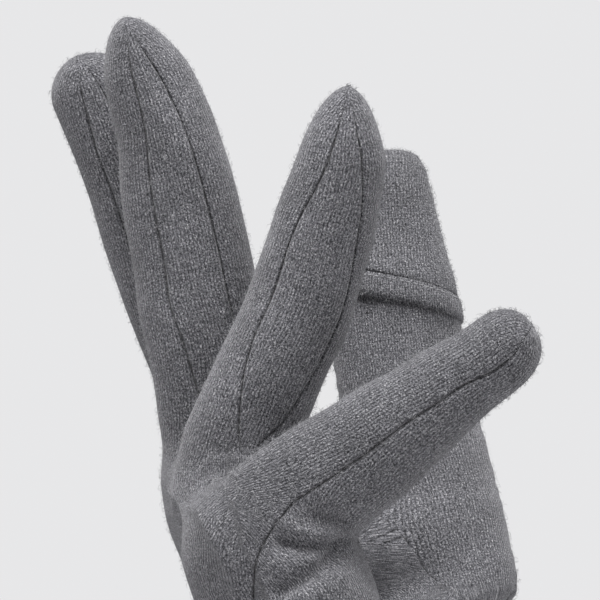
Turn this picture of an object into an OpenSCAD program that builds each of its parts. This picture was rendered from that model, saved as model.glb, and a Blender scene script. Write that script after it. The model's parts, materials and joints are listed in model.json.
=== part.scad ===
// Knitted touchscreen glove for a right hand, standing on its cuff with the fingers open.
// +Z is up, the palm faces -Y, the thumb is on +X, and the origin is the centre of the cuff opening.
// Every cut piece is a thin shell swept along the hand or along a finger.

/* [Fabric] */
// Thickness of the brushed knit
fabric_t = 1.8; // [1.2:0.1:2.2]
// Gap left along each sewn seam
seam_gap = 0.2; // [0.1:0.05:0.4]
// Proudness of a row of stitches
thread_t = 0.5; // [0.3:0.1:0.8]

/* [Hand] */
// Height of the knuckle edge above the cuff edge
hand_h = 134; // [130:0.5:135]
// How much lower the knuckle edge is at the little finger
knuckle_drop = 20; // [16:1:24]
// How much lower the knuckle edge is beside the index finger
side_drop = 12; // [10:1:16]
// Width of the cuff
cuff_w = 76; // [68:1:90]
// Depth of the cuff
cuff_d = 50; // [44:1:60]
// Height of the wrist above the cuff edge
wrist_z = 60; // [50:1:70]
// Width of the wrist
wrist_w = 64; // [58:1:74]
// Depth of the wrist
wrist_d = 44; // [38:1:50]
// Width of the palm
palm_w = 85; // [82:1:90]
// Depth of the palm
palm_d = 36; // [32:1:40]
// Height of the cuff's turned hem
cuff_hem_h = 22; // [12:1:30]

/* [Fingers: index, middle, ring, little] */
// Length from the root pivot to the tip
finger_l = [92, 96, 86, 67]; // [60:1:100]
// Width at the root, side to side
finger_w = [20.6, 20.6, 20.4, 18.6]; // [16:0.2:20.8]
// Width near the tip
finger_tip_w = [16.6, 17.4, 16, 15]; // [13:0.2:18]
// Depth at the root, back to palm
finger_d = [25.5, 28.5, 24.5, 24]; // [20:0.5:30]
// Depth near the tip
finger_tip_d = [19, 22, 16.5, 17.5]; // [14:0.5:23]
// How long the finger stays full before it thins, 1 is an even taper
finger_taper = [1.2, 1.9, 1.6, 0.9]; // [0.8:0.1:2]
// Lean of the root from upright towards the palm
finger_lean = [-22, -8, 24, 56]; // [-30:1:60]
// Turn at the middle joint
finger_curl = [0, -7, -8, -3]; // [-10:1:10]
// Turn at the end joint
finger_tip_curl = [0, -1, -6, 1]; // [-10:1:10]
// Spread of the finger, positive towards the thumb
finger_spread = [1.5, 0, -2.5, -7]; // [-8:0.5:2]

/* [Thumb] */
// Length from the root pivot to the tip
thumb_l = 98; // [94:1:102]
// Width at the root
thumb_w = 33.5; // [30:0.5:34]
// Width near the tip
thumb_tip_w = 20.5; // [19:0.5:24]
// Depth at the root
thumb_d = 27; // [24:0.5:28]
// Depth near the tip
thumb_tip_d = 19; // [17:0.5:21]
// How long the thumb stays full before it thins, 1 is an even taper
thumb_taper = 1.8; // [1:0.1:2]
// Length of the cap that flips back
cap_l = 37; // [32:1:42]
// Depth of the cap's doubled hem
cap_hem_h = 7; // [5:0.5:9]
// How far the hem covers the sleeve
cap_overlap = 5; // [3:0.5:6]

/* [Hidden] */

INDEX = 0;
MIDDLE = 1;
RING = 2;
LITTLE = 3;
THUMB = 4;

grey = [0.34, 0.34, 0.36];
pale_grey = [0.43, 0.43, 0.45];
dark_grey = [0.25, 0.25, 0.27];
run = 0.02; // smallest half depth of a closed tip
seam_half = 30; // half angle of a fourchette at the root
side_seam = -18; // angle of the seam on the index side of the hand
gusset_span = 46; // angle that the thumb gusset takes of the hand

// Places of the root pivots: index, middle, ring, little, thumb
pivots = [
    [31, 34.5, hand_h + 9], [10, 36.5, hand_h + 9], [-11, 32, hand_h + 4], [-31, 22.5, hand_h - 7],
    [46, -17, hand_h - 20]
];
mouth_z = pivots[THUMB][2] - 13;
gusset_z = wrist_z - 2;
palm_z = hand_h - 30;

// Each digit: pivot, length, widths, depths, lean, two turns, spread, roll, bluntness of the tip, taper
digits = [
    for (i = [INDEX:LITTLE]) [
        pivots[i], finger_l[i], [finger_w[i], finger_tip_w[i]] / 2, [finger_d[i], finger_tip_d[i]] / 2,
        finger_lean[i], finger_curl[i], finger_tip_curl[i], finger_spread[i], 0, i == LITTLE ? 3.4 : 2.3,
        finger_taper[i]
    ],
    [
        pivots[THUMB], thumb_l, [thumb_w, thumb_tip_w] / 2, [thumb_d, thumb_tip_d] / 2,
        -14, 8, 4, 20, -90, 2.4, thumb_taper
    ]
];
cap_s = thumb_l - cap_l;

function ease(t) = t <= 0 ? 0 : t >= 1 ? 1 : t * t * (3 - 2 * t);
function unit(v) = v / norm(v);
function sum(list) = [for (item = list) 1] * list;
function mix(a, b, t) = a + (b - a) * t;

// Lean, direction and place of a digit's middle line at the length s from its pivot
function lean(d, s) =
    d[4] + d[5] * ease(s / d[1] / 0.2 - 1.5) + d[6] * ease(s / d[1] / 0.2 - 3);
function spread(d, s) = d[8] == 0 ? d[7] : mix(d[7], d[7] / 3, ease(s / d[1] * 1.6));
function along(d, s) = [
    sin(spread(d, s)), -sin(lean(d, s)) * cos(spread(d, s)), cos(lean(d, s)) * cos(spread(d, s))
];
function place(d, s, steps = 16) =
    d[0] + s / steps * sum([for (k = [0.5:steps]) along(d, k * s / steps)]);

// The two axes across a digit: towards its side, and towards its back
function flat_side(t) = unit([1, 0, 0] - t * t[0]);
function to_side(d, t) = flat_side(t) * cos(d[8]) + cross(t, flat_side(t)) * sin(d[8]);
function to_back(d, t) = cross(t, to_side(d, t));

// Length of the rounded tip, and radius of the round root that turns inside the hand's edge
function dome_l(d) = d[3][1] * 1.15;
function ball_r(d) = d[8] == 0 ? d[3][0] : d[2][0];

// Half width and half depth at s, for a skin that lies inset below the outside
function tip_part(d, s, inset) =
    max(0, min(1, (s - d[1] + inset) / dome_l(d) + 1));
function ball_part(d, s) = s < 0 ? sqrt(1 - pow(s / ball_r(d), 2)) : 1;
function blunt(d, t) = pow(max(0, 1 - pow(t, d[9])), 1 / d[9]);
function thinning(d, s) = pow(max(0, s / d[1]), d[10]);
function half_w(d, s, inset) =
    (mix(d[2][0], d[2][1], thinning(d, s)) - inset) * ball_part(d, s)
    * mix(0.35, 1, blunt(d, tip_part(d, s, inset)));
function half_d(d, s, inset) =
    (mix(d[3][0], d[3][1], thinning(d, s)) - inset) * ball_part(d, s)
    * max(run, blunt(d, tip_part(d, s, inset)));

// A point on a digit at length s and angle v: 0 is its side, 90 its back
function skin(d, s, v, inset) =
    let (t = along(d, s))
    place(d, s) + to_side(d, t) * cos(v) * half_w(d, s, inset)
    + to_back(d, t) * sin(v) * half_d(d, s, inset);

// Closed solid between an outer and an inner grid of points of the same size
module shell(outer, inner) {
    rows = len(outer);
    cols = len(outer[0]);
    function at(side, i, j) = (side * rows + i) * cols + j;
    function two(a, b, c, e) = [[a, b, c], [a, c, e]];
    faces = concat(
        [for (i = [0:rows - 2], j = [0:cols - 2])
            each two(at(0, i, j), at(0, i + 1, j), at(0, i + 1, j + 1), at(0, i, j + 1))],
        [for (i = [0:rows - 2], j = [0:cols - 2])
            each two(at(1, i, j), at(1, i, j + 1), at(1, i + 1, j + 1), at(1, i + 1, j))],
        [for (j = [0:cols - 2])
            each two(at(0, 0, j), at(0, 0, j + 1), at(1, 0, j + 1), at(1, 0, j))],
        [for (j = [0:cols - 2])
            each two(at(0, rows - 1, j), at(1, rows - 1, j), at(1, rows - 1, j + 1), at(0, rows - 1, j + 1))],
        [for (i = [0:rows - 2])
            each two(at(0, i, 0), at(1, i, 0), at(1, i + 1, 0), at(0, i + 1, 0))],
        [for (i = [0:rows - 2])
            each two(at(0, i, cols - 1), at(0, i + 1, cols - 1), at(1, i + 1, cols - 1), at(1, i, cols - 1))]
    );
    polyhedron([for (grid = [outer, inner]) for (row = grid) for (p = row) p], faces, convexity = 6);
}

// Lengths of the rings of a digit from a to its tip, closer together in the dome
function rings(d, a, inset) =
    let (dome = dome_l(d), b = d[1] - inset - dome, n = max(2, round((d[1] - a) / 7)))
    concat([for (k = [0:n]) a + (b - a) * k / n], [for (q = [30, 55, 75, 90]) b + dome * sin(q)]);

// One cut piece of a digit, between two seams that draw in towards the tip
module strip(i, from, to, narrow_from, narrow_to, cols, start) {
    d = digits[i];
    function edge(v, narrow, k, n) = v + narrow * ease(k / n * 1.6 - 0.6);
    function grid(inset) =
        let (list = rings(d, start, inset), n = len(list) - 1)
        [for (k = [0:n]) [for (j = [0:cols])
            skin(d, list[k], mix(edge(from, narrow_from, k, n), edge(to, narrow_to, k, n), j / cols), inset)]];
    shell(grid(0), grid(fabric_t));
}

// Half of a seam's gap, as an angle round a finger and round the hand
gap = seam_gap * 3;
hand_gap = seam_gap * 1.2;

// A finger starts below its pivot, where its root is a ball that the hand's edge goes round
root_s = [-9, -9, -9.5, -10.5];

module finger_back(i, from, to) {
    strip(i, from + gap, to - gap, from > 0 ? 4 - from : 0, to < 180 ? 176 - to : 0, 8, root_s[i]);
}

module finger_front(i, from, to) {
    strip(i, from + gap, to - gap, from > 180 ? 184 - from : 0, to < 360 ? 356 - to : 0, 8, root_s[i]);
}

module fourchette(i, middle) {
    strip(i, middle - seam_half, middle + seam_half, seam_half - 3, 3 - seam_half, 3, root_s[i]);
}

module index_back() color(grey) finger_back(INDEX, 0, 180 - seam_half);
module index_front() color(grey) finger_front(INDEX, 180 + seam_half, 360);
module index_fourchette() color(pale_grey) fourchette(INDEX, 180);

module middle_back() color(grey) finger_back(MIDDLE, seam_half, 180 - seam_half);
module middle_front() color(grey) finger_front(MIDDLE, 180 + seam_half, 360 - seam_half);
module middle_index_fourchette() color(pale_grey) fourchette(MIDDLE, 0);
module middle_ring_fourchette() color(pale_grey) fourchette(MIDDLE, 180);

module ring_back() color(grey) finger_back(RING, seam_half, 180 - seam_half);
module ring_front() color(grey) finger_front(RING, 180 + seam_half, 360 - seam_half);
module ring_middle_fourchette() color(pale_grey) fourchette(RING, 0);
module ring_little_fourchette() color(pale_grey) fourchette(RING, 180);

module little_back() color(grey) finger_back(LITTLE, seam_half, 180);
module little_front() color(grey) finger_front(LITTLE, 180, 360 - seam_half);
module little_fourchette() color(pale_grey) fourchette(LITTLE, 0);

// A piece of the thumb between the lengths a and b, drawn in evenly
module thumb_band(from, to, a, b, cols, rows, out, inset) {
    d = digits[THUMB];
    function grid(depth) =
        [for (k = [0:rows]) [for (j = [0:cols]) skin(d, mix(a, b, k / rows), mix(from, to, j / cols), depth)]];
    shell(grid(out), grid(inset));
}

sleeve_s = -9;
sleeve_end = cap_s - 0.4;

module thumb_sleeve_back() color(grey) thumb_band(gap, 180 - gap, sleeve_s, sleeve_end, 10, 9, 0, fabric_t);
module thumb_sleeve_front() color(grey) thumb_band(180 + gap, 360 - gap, sleeve_s, sleeve_end, 10, 9, 0, fabric_t);
module thumb_sleeve_edge() color(dark_grey)
    thumb_band(185, 355, sleeve_end - 8, sleeve_end, 10, 1, fabric_t + 0.2, fabric_t * 2);

module cap_back() color(grey) strip(THUMB, gap, 180 - gap, 0, 0, 10, cap_s);
module cap_front() color(grey) strip(THUMB, 180 + gap, 360 - gap, 0, 0, 10, cap_s);

// The doubled hem covers the sleeve's end on the pad side, and runs out at the sides
hem_out = 0.4 + fabric_t;
module cap_hem() {
    d = digits[THUMB];
    function low(v) = cap_s - cap_overlap * pow(sin(v - 180), 0.5);
    function grid(out) =
        [for (k = [0:3]) [for (j = [0:12])
            let (v = mix(196, 344, j / 12))
            skin(d, mix(low(v), cap_s + cap_hem_h - cap_overlap, k / 3), v, -out)]];
    color(pale_grey) shell(grid(hem_out), grid(0.4));
}

module cap_stitch() color(dark_grey) {
    s = cap_s + cap_hem_h - cap_overlap - 1.6;
    thumb_band(200, 340, s, s + 0.7, 12, 1, -hem_out - thread_t, -hem_out - 0.05);
}

// Section of the hand at height z: middle, half width, half depth and turn
mid_x = [[0, 0], [wrist_z, 0], [palm_z, -1], [hand_h, 0]];
mid_y = [[0, 0], [wrist_z, 3], [palm_z - 20, 12.5], [palm_z, 22.5], [palm_z + 16, 30], [hand_h, 33]];
half_width = [[0, cuff_w / 2], [wrist_z, wrist_w / 2], [palm_z - 10, palm_w / 2], [hand_h, palm_w / 2 - 1]];
half_depth = [[0, cuff_d / 2], [wrist_z, wrist_d / 2], [palm_z, palm_d / 2], [hand_h, palm_d / 2 - 3]];
turn = [[0, 0], [wrist_z, 2], [palm_z, 8], [hand_h, 13]];

// The base of the thumb: middle and half widths at height z
thenar_x = [[wrist_z, 20], [wrist_z + 15, 26], [palm_z - 14, 34], [palm_z, 42]];
thenar_y = [[wrist_z, 2], [wrist_z + 15, -3], [palm_z - 14, -11], [palm_z, -15]];
thenar_w = [[wrist_z, 11], [wrist_z + 15, 13], [palm_z, 15.5]];
thenar_d = [[wrist_z, 13], [wrist_z + 15, 15.5], [palm_z, 19]];

// How far a ray from o at the angle v runs before it leaves an ellipse
function way_out(o, v, middle, half_x, half_y, tilt) =
    let (
        q = o - middle,
        p = [(q[0] * cos(tilt) + q[1] * sin(tilt)) / half_x, (q[1] * cos(tilt) - q[0] * sin(tilt)) / half_y],
        r = [cos(v - tilt) / half_x, sin(v - tilt) / half_y],
        root = pow(p * r, 2) - r * r * (p * p - 1)
    )
    root < 0 ? 0 : (sqrt(root) - p * r) / (r * r);

// The web between the palm and the thumb is a row of ellipses, which draws back above the thumb's mouth
web_steps = [0.3:0.14:1];
function web_reach(z) = z <= mouth_z + 0.01 ? 1 : 0.45 - (z - mouth_z) / 40;

function hand_middle(z) = [lookup(z, mid_x), lookup(z, mid_y)];
function hand_point(z, v, inset) =
    let (
        o = hand_middle(z),
        palm = way_out(o, v, o, lookup(z, half_width) - inset, lookup(z, half_depth) - inset, lookup(z, turn)),
        thenar = [lookup(z, thenar_x), lookup(z, thenar_y)],
        base = z < wrist_z ? [0] : [
            for (t = web_steps) if (t <= web_reach(z))
                way_out(o, v, mix(o, thenar, t), lookup(z, thenar_w) - inset, lookup(z, thenar_d) - inset, 0)
        ],
        far = max(concat([palm], base))
    )
    [o[0] + far * cos(v), o[1] + far * sin(v), z];

// The knuckle edge drops towards the little finger and beside the index finger
function knuckle_z(v) =
    let (x = palm_w / 2 * cos(v))
    hand_h - knuckle_drop * pow(max(0, 5 - x) / 40, 2) - side_drop * pow(max(0, x - 20) / 20, 2);
function row_z(z, v) = z <= mouth_z ? z : mouth_z + (z - mouth_z) * (knuckle_z(v) - mouth_z) / (hand_h - mouth_z);

// Angle of the gusset's edge on the palm: it opens up from the wrist and closes above the thumb
function gusset_edge(z) =
    360 + side_seam - gusset_span * ease((z - gusset_z) / 14) * (1 - ease((z - mouth_z) / 9));

low_rows = [0, 12, 24, 36, 48, gusset_z];
gusset_rows = [for (k = [0:8]) mix(gusset_z, mouth_z, k / 8)];
high_rows = concat([mouth_z + 3, mouth_z + 6], [for (k = [0:3]) mix(mouth_z + 9, hand_h, k / 3)]);
hand_rows = concat(low_rows, [for (k = [1:8]) gusset_rows[k]], high_rows);

module hand_strip(rows, from, to_list, cols, out, inset) {
    function grid(depth) =
        [for (k = [0:len(rows) - 1]) [for (j = [0:cols])
            let (v = mix(from[k], to_list[k], j / cols)) hand_point(row_z(rows[k], v), v, depth)]];
    shell(grid(out), grid(inset));
}

function same(value, rows) = [for (z = rows) value];

module hand_back() color(grey)
    hand_strip(hand_rows, same(side_seam + hand_gap, hand_rows), same(180 - hand_gap, hand_rows), 22, 0, fabric_t);
module hand_palm() color(grey)
    hand_strip(
        hand_rows, same(180 + hand_gap, hand_rows),
        [for (z = hand_rows) min(gusset_edge(z), 359.5 + side_seam) - hand_gap],
        18, 0, fabric_t);
module thumb_gusset() color(grey)
    hand_strip(
        gusset_rows, [for (z = gusset_rows) min(gusset_edge(z), 359.5 + side_seam) + hand_gap],
        same(360 + side_seam - hand_gap, gusset_rows), 10, 0, fabric_t);

hem_rows = [0, cuff_hem_h / 2, cuff_hem_h];
module cuff_hem_back() color(dark_grey)
    hand_strip(
        hem_rows, same(side_seam + hand_gap, hem_rows), same(180 - hand_gap, hem_rows), 22,
        fabric_t + 0.1, fabric_t * 2);
module cuff_hem_palm() color(dark_grey)
    hand_strip(
        hem_rows, same(180 + hand_gap, hem_rows), same(360 + side_seam - hand_gap, hem_rows), 18,
        fabric_t + 0.1, fabric_t * 2);

stitch_rows = [cuff_hem_h - 2.5, cuff_hem_h - 1.8];
module cuff_stitch() color(dark_grey)
    hand_strip(stitch_rows, same(side_seam, stitch_rows), same(359.4 + side_seam, stitch_rows), 40, -thread_t, -0.05);

hand_back();
hand_palm();
thumb_gusset();
cuff_hem_back();
cuff_hem_palm();
cuff_stitch();
index_back();
index_front();
index_fourchette();
middle_back();
middle_front();
middle_index_fourchette();
middle_ring_fourchette();
ring_back();
ring_front();
ring_middle_fourchette();
ring_little_fourchette();
little_back();
little_front();
little_fourchette();
thumb_sleeve_back();
thumb_sleeve_front();
thumb_sleeve_edge();
cap_back();
cap_front();
cap_hem();
cap_stitch();
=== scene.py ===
"""Looks of the knitted touchscreen glove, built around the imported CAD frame.

Lengths are in millimetres until a mesh is made, and every piece is then in metres, in the frame's own axes:
+Z up, the palm faces -Y, the thumb is on +X, and the origin is the centre of the cuff opening.
The hand and the thumb's sleeve are cut from one smooth skin round blended volumes; the fingers and the cap
are swept along middle lines that start at the frame's joints. A seam is where two turned-in pieces meet.
"""

import json
import math

import bpy
import numpy as np
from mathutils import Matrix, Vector


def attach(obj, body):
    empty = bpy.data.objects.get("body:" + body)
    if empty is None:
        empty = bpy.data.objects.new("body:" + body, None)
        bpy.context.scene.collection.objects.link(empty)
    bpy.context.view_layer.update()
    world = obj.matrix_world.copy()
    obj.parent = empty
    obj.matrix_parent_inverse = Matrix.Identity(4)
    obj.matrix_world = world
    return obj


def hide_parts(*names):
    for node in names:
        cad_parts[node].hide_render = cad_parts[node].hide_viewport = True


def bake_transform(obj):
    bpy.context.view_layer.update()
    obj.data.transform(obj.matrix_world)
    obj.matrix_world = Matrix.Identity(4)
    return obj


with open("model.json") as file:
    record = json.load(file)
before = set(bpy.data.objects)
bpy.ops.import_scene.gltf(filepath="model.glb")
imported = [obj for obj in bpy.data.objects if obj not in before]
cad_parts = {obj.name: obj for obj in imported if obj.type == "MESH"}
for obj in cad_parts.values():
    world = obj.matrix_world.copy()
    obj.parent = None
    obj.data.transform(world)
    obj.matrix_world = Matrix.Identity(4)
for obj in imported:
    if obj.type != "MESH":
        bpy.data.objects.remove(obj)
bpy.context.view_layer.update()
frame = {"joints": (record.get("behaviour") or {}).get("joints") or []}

MM = 0.001
FABRIC = 1.5  # thickness of the knit
ROLL = 0.8  # radius of an edge turned in at a seam
WALE = 0.8  # width of one column of stitches
COURSE = 0.62  # height of one row of stitches
VALLEY = (0.25, 2.6)  # depth and width of the shallow valley along a seam
UNSEWN = 9.0  # distance from a seam that stands for having none
ROOT = -16.0  # length at which a digit's middle line starts, inside the hand
STEP = 0.5  # step of the tables along a digit
AT_PIVOT = int(-ROOT / STEP)  # row of a digit's tables at its joint
STUB = 2  # how far the flat end of a digit's root lies beyond the start of its middle line
TIP_WIDTH, TIP_DEPTH = 0.32, 0.002  # shares of a digit's width and depth that are left at its very tip
CLOSE = 30.0  # distance from a digit at which its exact shape stops mattering
GRID = 1.0  # step of the grid that the hand's skin is found on

joint_at = {j["child"]: np.array(j["pos_m"]) / MM for j in frame["joints"]}


def ease(t):
    t = np.clip(t, 0, 1)
    return t * t * (3 - 2 * t)


def mix(a, b, t):
    return a + (b - a) * t


def unit(v):
    return v / np.linalg.norm(v, axis=-1, keepdims=True)


def dot(a, b):
    return (a * b).sum(-1)


def near(a, b, k):
    """The smaller of two distances, rounded where they are within k of each other."""
    h = np.clip(1 - np.abs(a - b) / k, 0, 1)
    return np.minimum(a, b) - h * h * k / 4


def far(a, b, k):
    return -near(-a, -b, k)


def smooth_curve(points, x, width):
    """A curve through (place, value) points, rounded over width."""
    fine = np.linspace(points[0][0] - 30, points[-1][0] + 30, 500)
    value = np.interp(fine, [p[0] for p in points], [p[1] for p in points])
    reach = max(1, int(width / (fine[1] - fine[0])))
    kernel = np.hanning(2 * reach + 3)
    padded = np.pad(value, reach + 1, mode="edge")
    return np.interp(x, fine, np.convolve(padded, kernel / kernel.sum(), mode="valid"))


class Digit:
    """A finger or thumb: a middle line with a section that changes along it."""

    def __init__(self, body, length, lean, curls, spread, tip, outline,
                 narrowing=None, half_widths=None, roll=0):
        """narrowing is the width at the root, the width at the tip, and how late one becomes the other."""
        self.body, self.length = body, length
        self.pivot = joint_at[body]
        self.dome, self.blunt = tip
        s = np.arange(ROOT, length + STEP, STEP)
        turn = ease(s / length / 0.2 - 1.5) * curls[0] + ease(s / length / 0.2 - 3) * curls[1]
        lean = np.radians(lean + turn)
        side = np.radians(spread if roll == 0 else mix(spread, spread / 3, ease(s / length * 1.6)))
        self.along = np.stack(
            [np.sin(side) + 0 * s, -np.sin(lean) * np.cos(side), np.cos(lean) * np.cos(side)], 1)
        middle = (self.along[1:] + self.along[:-1]) / 2 * np.diff(s)[:, None]
        line = np.vstack([np.zeros(3), np.cumsum(middle, 0)])
        self.line = line - line[AT_PIVOT] + self.pivot
        flat = unit(np.array([1.0, 0, 0]) - self.along * self.along[:, :1])
        turned = math.radians(roll)
        self.side = flat * math.cos(turned) + np.cross(self.along, flat) * math.sin(turned)
        self.back = np.cross(self.along, self.side)
        self.s = s
        if half_widths:
            self.half_w = smooth_curve(half_widths, s, 6)
        else:
            width, tip_width, late = narrowing
            self.half_w = mix(width, tip_width, np.clip(s / length, 0, 1) ** late) / 2
        back = smooth_curve([(o[0], o[1]) for o in outline], s, 6)
        palm = smooth_curve([(o[0], o[2]) for o in outline], s, 6)
        self.half_d, self.shift = (back + palm) / 2, (back - palm) / 2

    def at(self, table, s):
        if table.ndim == 1:
            return np.interp(s, self.s, table)
        return np.stack([np.interp(s, self.s, table[:, i]) for i in range(3)], -1)

    def rounding(self, s):
        t = np.clip((s - self.length + self.dome) / self.dome, 0, 1)
        return (1 - t**self.blunt) ** (1 / self.blunt)

    def frame(self, s):
        return self.at(self.line, s), unit(self.at(self.side, s)), unit(self.at(self.back, s))

    def skin(self, s, v, out=0.0):
        """Point at length s and angle v in degrees: 0 is the side, 90 the back."""
        place, side, back = self.frame(s)
        end = self.rounding(s)
        w = (self.at(self.half_w, s) + out) * mix(TIP_WIDTH, 1, end)
        d = (self.at(self.half_d, s) + out) * np.maximum(end, TIP_DEPTH)
        a = np.radians(v)
        return (place + side * (np.cos(a) * w)[..., None]
                + back * (np.sin(a) * d + self.at(self.shift, s) * end)[..., None])

    def local(self, p):
        """Length along the middle line nearest to p, and the two offsets across it."""
        coarse = np.arange(0, len(self.s), 5)
        best = np.zeros(len(p), int)
        least = np.full(len(p), 1e9)
        for i in coarse:
            gap = ((p - self.line[i]) ** 2).sum(1)
            closer = gap < least
            least[closer], best[closer] = gap[closer], i
        s = self.s[best]
        for _ in range(2):
            s = s + dot(p - self.at(self.line, s), unit(self.at(self.along, s)))
            s = np.clip(s, ROOT, self.length)
        place, side, back = self.frame(s)
        return s, dot(p - place, side), dot(p - place, back)

    def field(self, p):
        """Distance outside the digit, exact near it and rough far from it."""
        low, high = self.line.min(0) - CLOSE, self.line.max(0) + CLOSE
        beyond = np.maximum(np.maximum(low - p, p - high), 0).max(1)
        value = beyond + CLOSE / 3
        close = beyond == 0
        if close.any():
            value[close] = self.close_field(p[close])
        return value

    def close_field(self, p):
        s, a, b = self.local(p)
        w = self.at(self.half_w, s)
        d = self.at(self.half_d, s)
        b = b - self.at(self.shift, s)
        q = np.maximum(np.sqrt((a / w) ** 2 + (b / d) ** 2), 0.05)
        steep = np.maximum(np.sqrt((a / w**2) ** 2 + (b / d**2) ** 2) / q, 1e-3)
        below = STUB - dot(p - self.line[0], self.along[0])
        return np.maximum((q - 1) / steep, below)


# The outline of each digit is (distance from its pivot, depth of its back, depth of its palm side)
index = Digit("index", 93.5, lean=-22, curls=(0, 0), spread=1.5, tip=(10, 2.1),
              narrowing=(19.6, 16.4, 1.2), outline=[
    (-16, 8, 12), (0, 12, 12), (34, 11.9, 11.6), (46, 11.4, 11), (60, 10.2, 10.6), (80, 9.9, 10)])
middle = Digit("middle", 96, lean=-8, curls=(-7, -1), spread=0, tip=(14, 1.9),
               narrowing=(19.6, 17.2, 1.9), outline=[
    (-16, 8.5, 14), (0, 12.5, 14), (10, 12.6, 14), (28, 14, 14), (44, 13.3, 14), (58, 11.8, 14.4),
    (70, 9.4, 13.6), (80, 8.9, 11.8), (90, 8, 9)])
ring = Digit("ring", 86.5, lean=24, curls=(-8, -6), spread=-2.5, tip=(16, 1.7),
             narrowing=(19.4, 15.6, 1.6), outline=[
    (-16, 7.5, 12.6), (-1, 12.2, 12.6), (20, 12, 12.2), (40, 11.2, 12.8), (56, 10.4, 12), (68, 8.8, 11.7),
    (78, 7.4, 10)])
little = Digit("little", 69, lean=56, curls=(-3, 1), spread=-7, tip=(10, 2.4),
               narrowing=(18.4, 14.8, 0.9), outline=[
    (-16, 8, 13), (0, 12, 14), (12, 12, 14.6), (24, 11.4, 13.8), (34, 10.5, 12), (46, 9.1, 10.4),
    (54, 8, 9.6), (62, 7.9, 9)])
thumb = Digit("thumb", 98, lean=-14, curls=(8, 4), spread=20, tip=(12, 2.4), roll=-90, half_widths=[
    (-16, 11), (2, 16.6), (20, 16.6), (55, 16), (66, 15.3), (78, 13.1), (90, 10.8)], outline=[
    (-16, 9, 9), (2, 13.5, 13.5), (60, 12, 12), (90, 9.5, 9.5)])
fingers = [index, middle, ring, little]
CAP_S = 61  # length along the thumb at which the cap is hinged to the sleeve
SLEEVE_END = 66  # length at which the sleeve ends on the pad side, under the cap

# The hand: middle, half sizes and turn of its section at each height
MID_Y = [(0, 0), (60, 3), (84, 12.5), (104, 22.5), (120, 30), (134, 33)]
HALF_W = [(0, 38), (60, 32), (94, 42.5), (134, 41.5)]
HALF_D = [(0, 25), (60, 21.5), (104, 15.8), (134, 13)]
TURN = [(0, 0), (60, 4), (104, 15), (134, 18)]
THENAR_X = [(60, 20), (75, 26), (90, 34), (104, 42)]
THENAR_Y = [(60, 2), (75, -3), (90, -11), (104, -15)]
THENAR_W = [(60, 11), (75, 13), (104, 15.5)]
THENAR_D = [(60, 13), (75, 15.5), (104, 19)]
TOP = 136.5  # height of the knuckles under the fingers
# Pads of the palm, at the heel, under the fingers and at the edge: start, end, radius and softness
PADS = [
    ((-26, 14, 104), (-22, 16, 84), 14, 10),
    ((-20, 20, 116), (24, 26, 122), 15, 8),
    ((-21, 29.5, 116), (-18, 17, 80), 13, 10),
]
WEB = [((34, 17, 130), (50, -8, 134), 10), ((28, 12, 108), (44, -14, 116), 12)]


def table(points, z):
    return smooth_curve(points, z, 7)


def ellipse(p, x, y, w, d, turn=0.0):
    c, s = np.cos(turn), np.sin(turn)
    a = (p[:, 0] - x) * c + (p[:, 1] - y) * s
    b = (p[:, 1] - y) * c - (p[:, 0] - x) * s
    q = np.maximum(np.sqrt((a / w) ** 2 + (b / d) ** 2), 0.05)
    return (q - 1) * q / np.maximum(np.sqrt((a / w**2) ** 2 + (b / d**2) ** 2), 1e-3)


def capsule(p, a, b, r):
    a, b = np.array(a, float), np.array(b, float)
    t = np.clip(((p - a) @ (b - a)) / ((b - a) @ (b - a)), 0, 1)
    return np.linalg.norm(p - a - t[:, None] * (b - a), axis=1) - r


def hand_field(p):
    """The hand without its digits: the palm, the base of the thumb, and the pads."""
    x, y, z = p.T
    palm = ellipse(p, -0.5 * ease((z - 60) / 40), table(MID_Y, z), table(HALF_W, z), table(HALF_D, z),
                   np.radians(table(TURN, z)))
    # the knuckles fall away towards both sides
    top = TOP - 17 * (np.clip(5 - x, 0, 60) / 40) ** 2 - 10 * (np.clip(x - 18, 0, 60) / 20) ** 2
    palm = far(palm, z - top, 9)
    tx, ty, tw, td = (table(t, z) for t in (THENAR_X, THENAR_Y, THENAR_W, THENAR_D))
    my = table(MID_Y, z)
    # nearest place on the line from the middle of the palm to the thumb's base
    ax, ay = 0.3 * tx, mix(my, ty, 0.3)
    ux, uy = (tx - ax) / tw, (ty - ay) / td
    t = np.clip(((x - ax) / tw * ux + (y - ay) / td * uy) / (ux * ux + uy * uy), 0, 1)
    base = ellipse(p, ax + t * ux * tw, ay + t * uy * td, tw, td)
    base = far(base, z - 112 + 22 * (1 - t), 10)
    base = far(base, 56 - z, 10)
    hand = near(palm, base, 8)
    for start, end, radius, softness in PADS:
        hand = near(hand, capsule(p, start, end, radius), softness)
    return hand


def web_field(p):
    """The web between the thumb and the index finger, and its foot in the palm."""
    return near(capsule(p, *WEB[0]), capsule(p, *WEB[1]), 8)


def thumb_side(p):
    """The hand with the thumb and the web beside it."""
    return near(near(hand_field(p), thumb.field(p), 9), web_field(p), 9)


CROTCH = 5.0  # height of the web between two fingers above their pivots
NO_LIMIT = 99.0  # an x beyond both sides of the hand


def between(n):
    """Place across, and height, of the crotch between finger n and the one before it."""
    a, b = fingers[n - 1].pivot, fingers[n].pivot
    return (a[0] + b[0]) / 2, (a[2] + b[2]) / 2 + CROTCH


def whole_field(p):
    """Everything that the hand's skin goes round, with the fingers' stubs and the slots between them."""
    stubs = fingers[0].field(p)
    for n in range(1, len(fingers)):
        x, level = between(n)
        k = mix(6, 0.8, ease((p[:, 2] - level + 6) / 8))
        stubs = near(stubs, fingers[n].field(p), k)
        slot = far(np.abs(p[:, 0] - x) - 1.3, level - p[:, 2], 1)
        stubs = far(stubs, -slot, 1.5)
    return near(thumb_side(p), stubs, 7)


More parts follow.
